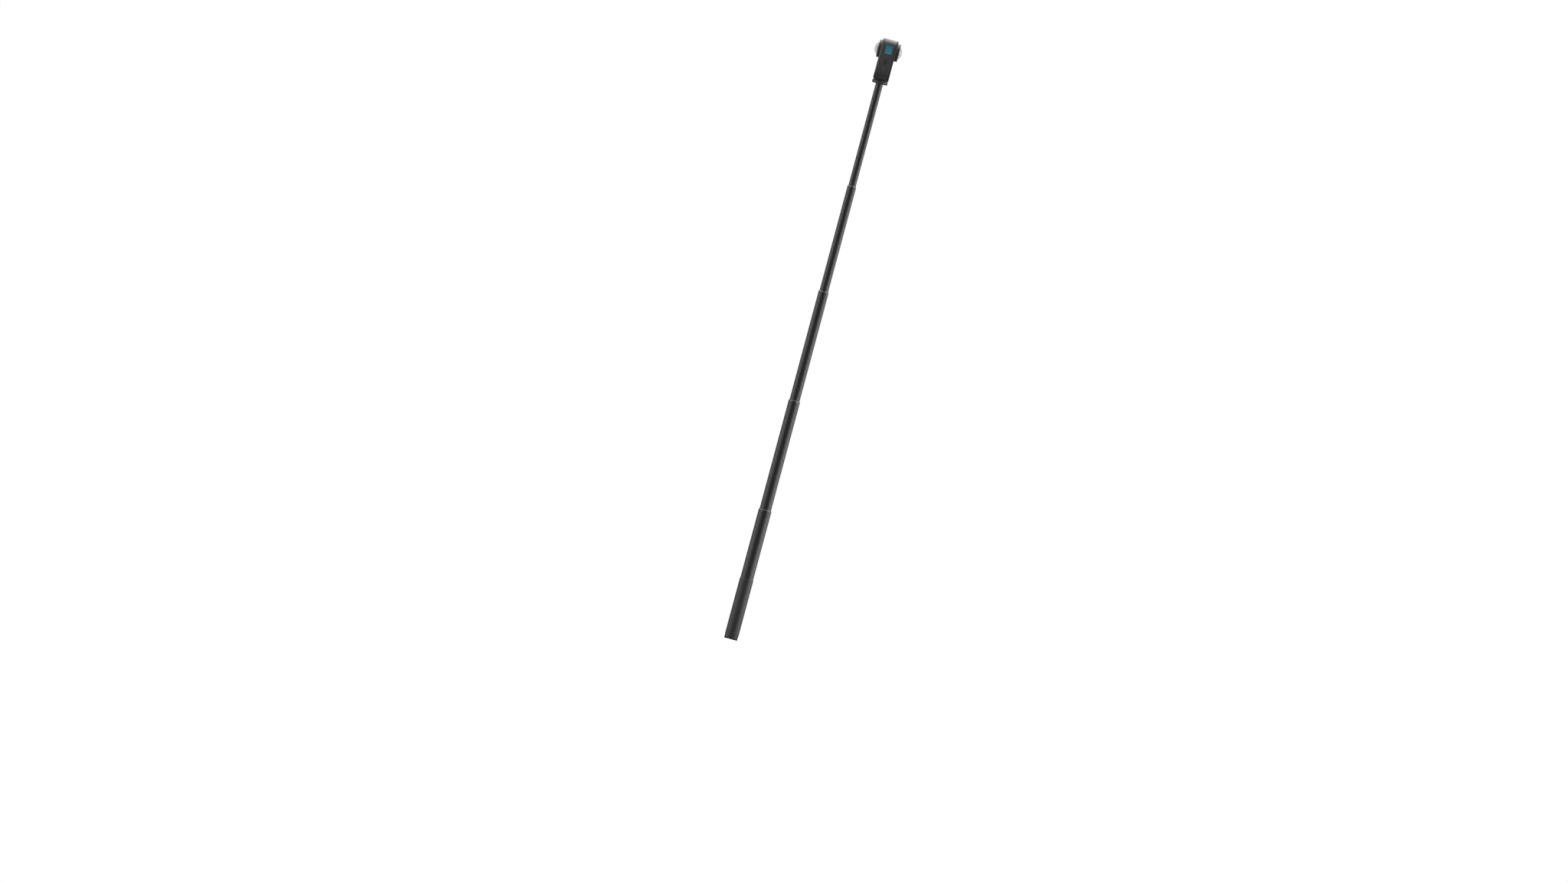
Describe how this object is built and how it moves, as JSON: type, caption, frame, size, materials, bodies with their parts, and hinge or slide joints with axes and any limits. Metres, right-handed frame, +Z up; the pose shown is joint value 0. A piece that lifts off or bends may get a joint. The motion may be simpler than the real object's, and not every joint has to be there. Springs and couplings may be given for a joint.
{
  "type": "telescoping camera extension pole",
  "caption": "Slim telescoping carbon pole with a sleeved base end, drawn out in tapering sections, with a compact two-lens camera clamped on its head by a knurled lock wheel.",
  "frame": {"origin": "centre of the pole's base end, on the pole's axis", "axes": "+Z up the pole to the camera; the lenses look along +X (screen side) and -X (grille side); -Y is the narrow side with the mark and the mode button, +Y the one with the battery door"},
  "size_m": [0.0476, 0.0642, 1.0533],
  "materials": {
    "carbon_tube": "satin woven carbon tube under a clear coat",
    "sleeve": "smooth satin black sleeve",
    "ring": "satin black moulded ring with a worn edge",
    "cap": "moulded black cap",
    "pin": "flush steel cross pin",
    "bush": "acetal bush",
    "brass": "turned brass insert",
    "foam": "closed-cell foam",
    "stud": "screw-cut steel stud",
    "wheel": "black anodised, knurled",
    "pad": "rubber pad",
    "camera_body": "soft-touch black moulding",
    "cover": "soft-touch black cover",
    "seal": "seal rubber",
    "guard": "satin black lens guard",
    "dome": "clear dome that looks pale against a bright sky",
    "barrel": "ridged black lens barrel",
    "element": "coated front element",
    "board": "green circuit board",
    "bracket": "pressed aluminium bracket",
    "battery": "battery pack",
    "screen": "black touch glass",
    "display": "display module",
    "button": "matt black button",
    "switch": "tact switch",
    "light": "red light pipe"
  },
  "bodies": {
    "base": {"base_end_cap": "cap", "base_thread_insert": "brass", "base_sleeve": "sleeve", "base_tube": "carbon_tube", "guide_ring_1": "ring", "ring_pins_1": "pin"},
    "section_2": {"tube_2": "carbon_tube", "friction_bush_2": "bush", "guide_ring_2": "ring", "ring_pins_2": "pin"},
    "section_3": {"tube_3": "carbon_tube", "friction_bush_3": "bush", "guide_ring_3": "ring", "ring_pins_3": "pin"},
    "section_4": {"tube_4": "carbon_tube", "friction_bush_4": "bush", "guide_ring_4": "ring", "ring_pins_4": "pin"},
    "section_5": {"tube_5": "carbon_tube", "friction_bush_5": "bush", "core_plug": "bush", "float_core": "foam", "head_socket": "ring", "tripod_stud": "stud"},
    "lock_wheel": {"lock_wheel": "wheel", "wheel_pad": "pad"},
    "camera": {"mid_frame": "camera_body", "cover_seals": "seal", "front_cover": "cover", "rear_cover": "cover", "touch_screen": "screen", "display_panel": "display", "status_light": "light", "lens_bracket": "bracket", "button_switches": "switch", "battery": "battery", "door_pin": "stud", "door_seal": "seal", "main_board": "board", "board_screws": "stud", "speaker": "switch", "tripod_insert": "brass", "front_lens_guard": "guard", "front_lens_dome": "dome", "front_lens_barrel": "barrel", "front_lens_element": "element", "front_sensor_board": "board", "rear_lens_guard": "guard", "rear_lens_dome": "dome", "rear_lens_barrel": "barrel", "rear_lens_element": "element", "rear_sensor_board": "board"},
    "shutter_button": {"shutter_button": "button"},
    "mode_button": {"mode_button": "button"},
    "battery_door": {"battery_door": "camera_body"},
    "door_latch": {"door_latch": "button"}
  },
  "joints": [
    {"name": "section_2_slide", "type": "slide", "parent": "base", "child": "section_2", "axis": [0, 0, 1], "range_m": [-0.189, 0]},
    {"name": "section_3_slide", "type": "slide", "parent": "section_2", "child": "section_3", "axis": [0, 0, 1], "range_m": [-0.189, 0]},
    {"name": "section_4_slide", "type": "slide", "parent": "section_3", "child": "section_4", "axis": [0, 0, 1], "range_m": [-0.182, 0]},
    {"name": "section_5_slide", "type": "slide", "parent": "section_4", "child": "section_5", "axis": [0, 0, 1], "range_m": [-0.177, 0]},
    {"name": "lock_wheel_turn", "type": "hinge", "parent": "section_5", "child": "lock_wheel", "pos_m": [0, 0, 0.9765], "axis": [0, 0, 1], "continuous": true},
    {"name": "camera_turn", "type": "hinge", "parent": "section_5", "child": "camera", "pos_m": [0, 0, 0.9831], "axis": [0, 0, 1], "range_deg": [-180, 180]},
    {"name": "shutter_button_press", "type": "slide", "parent": "camera", "child": "shutter_button", "axis": [0, 0, -1], "range_m": [0, 0.0006], "stiffness_N_per_m": 900, "springref_m": -0.0006},
    {"name": "mode_button_press", "type": "slide", "parent": "camera", "child": "mode_button", "axis": [0, 1, 0], "range_m": [0, 0.0006], "stiffness_N_per_m": 900, "springref_m": -0.0006},
    {"name": "battery_door_hinge", "type": "hinge", "parent": "camera", "child": "battery_door", "pos_m": [0, 0.03085, 0.9985], "axis": [-1, 0, 0], "range_deg": [0, 95]},
    {"name": "door_latch_slide", "type": "slide", "parent": "battery_door", "child": "door_latch", "axis": [0, 0, 1], "range_m": [0, 0.0015]}
  ]
}
